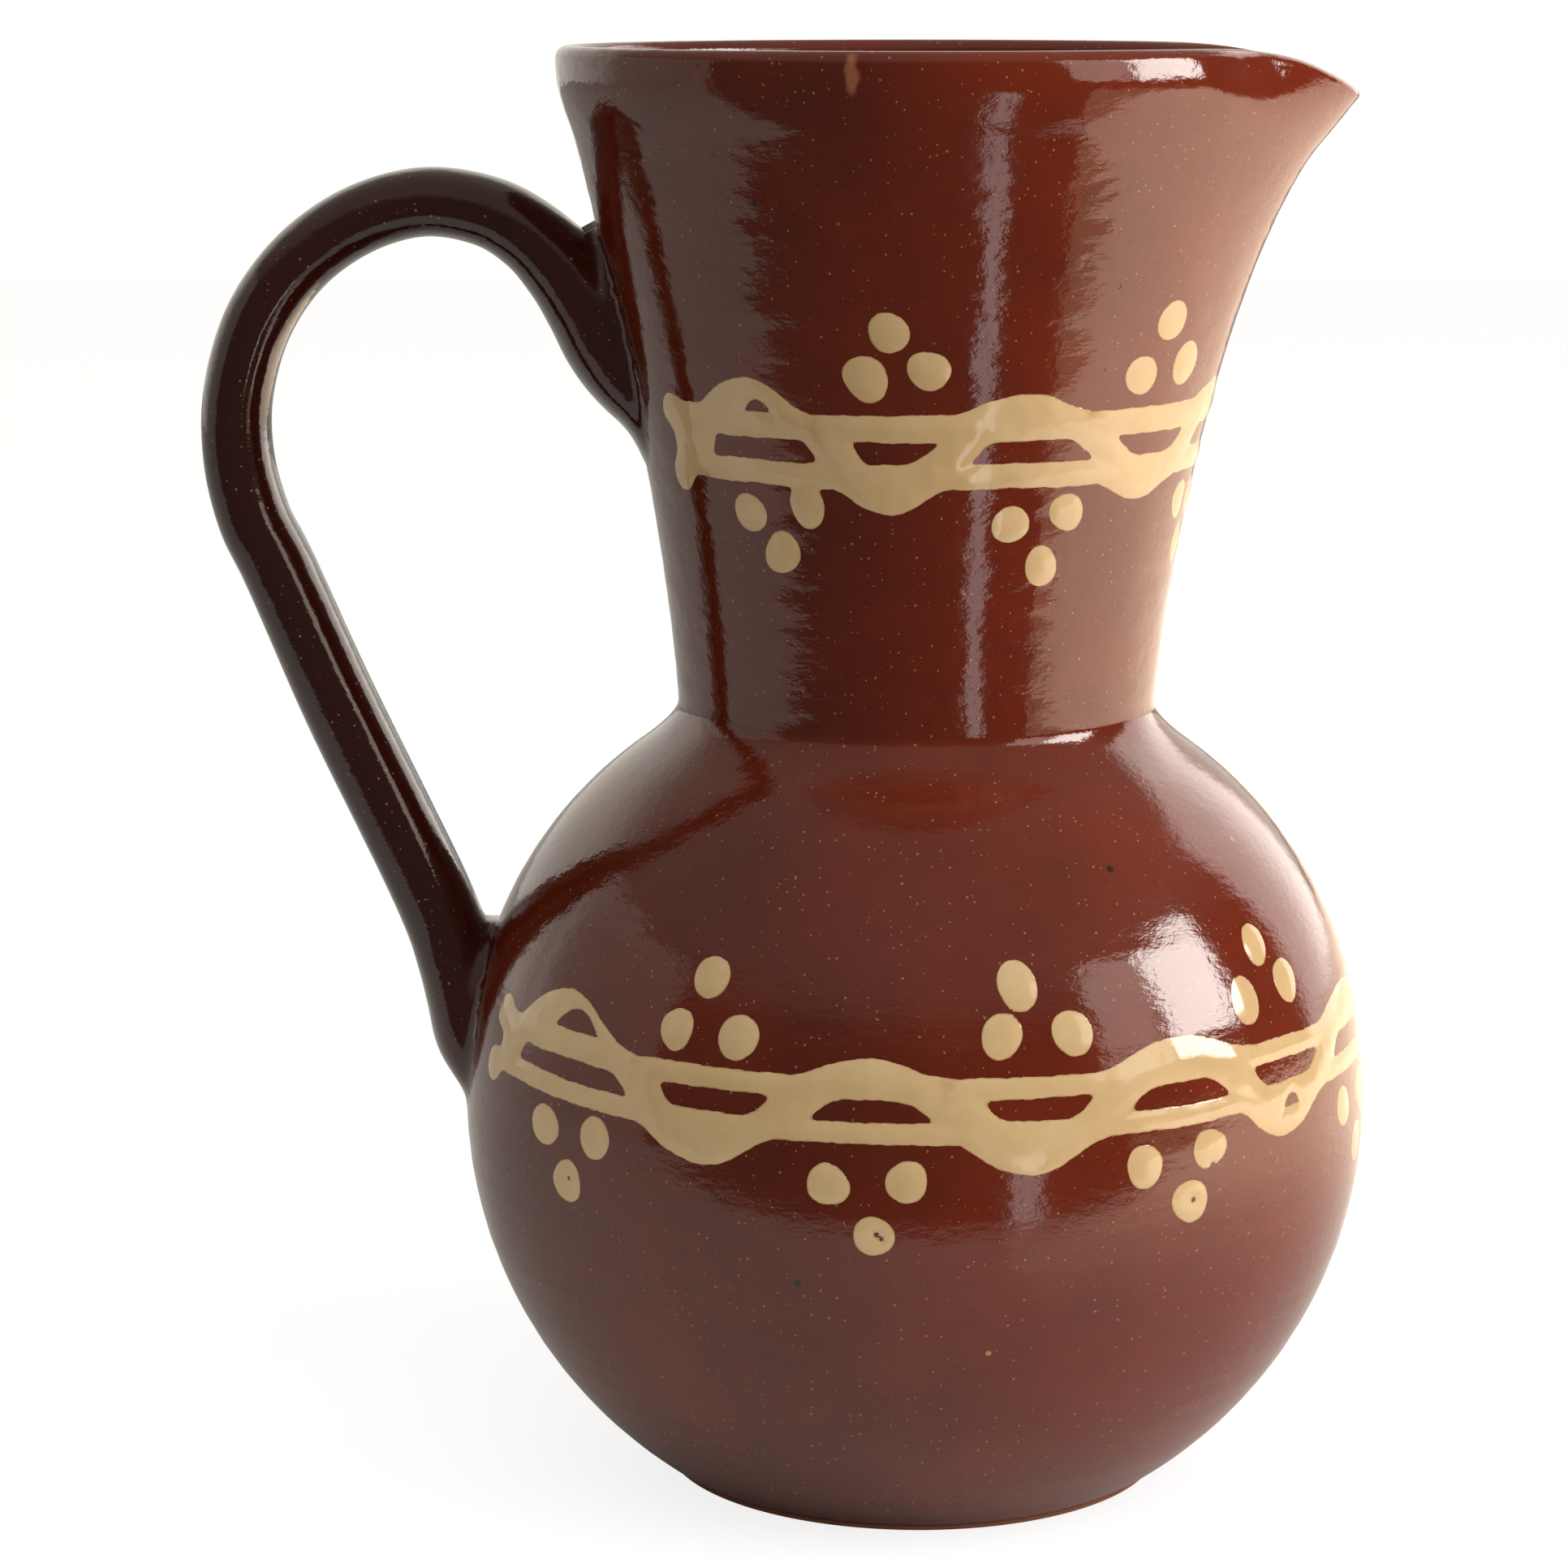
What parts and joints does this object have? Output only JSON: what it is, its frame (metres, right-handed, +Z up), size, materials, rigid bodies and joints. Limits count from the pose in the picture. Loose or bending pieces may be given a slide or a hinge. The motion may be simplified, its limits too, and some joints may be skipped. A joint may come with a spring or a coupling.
{
  "type": "ceramic jug",
  "caption": "Round-bellied glazed jug with a flared neck, a pulled spout, one looped handle and slip-trailed bands round the neck and belly.",
  "frame": {"origin": "centre of the foot's underside, on the jug's own axis", "axes": "+Z up the jug's axis, +X from the axis to the point of the spout, -X to the handle"},
  "size_m": [0.2038, 0.1595, 0.25],
  "materials": {
    "glaze": "dark red-brown transparent glaze over red clay, glossy",
    "slip": "cream slip under the same glossy glaze"
  },
  "bodies": {
    "root": {"jug": "glaze", "neck_band": "slip", "neck_drops": "slip", "belly_band": "slip", "belly_drops": "slip"}
  },
  "joints": []
}
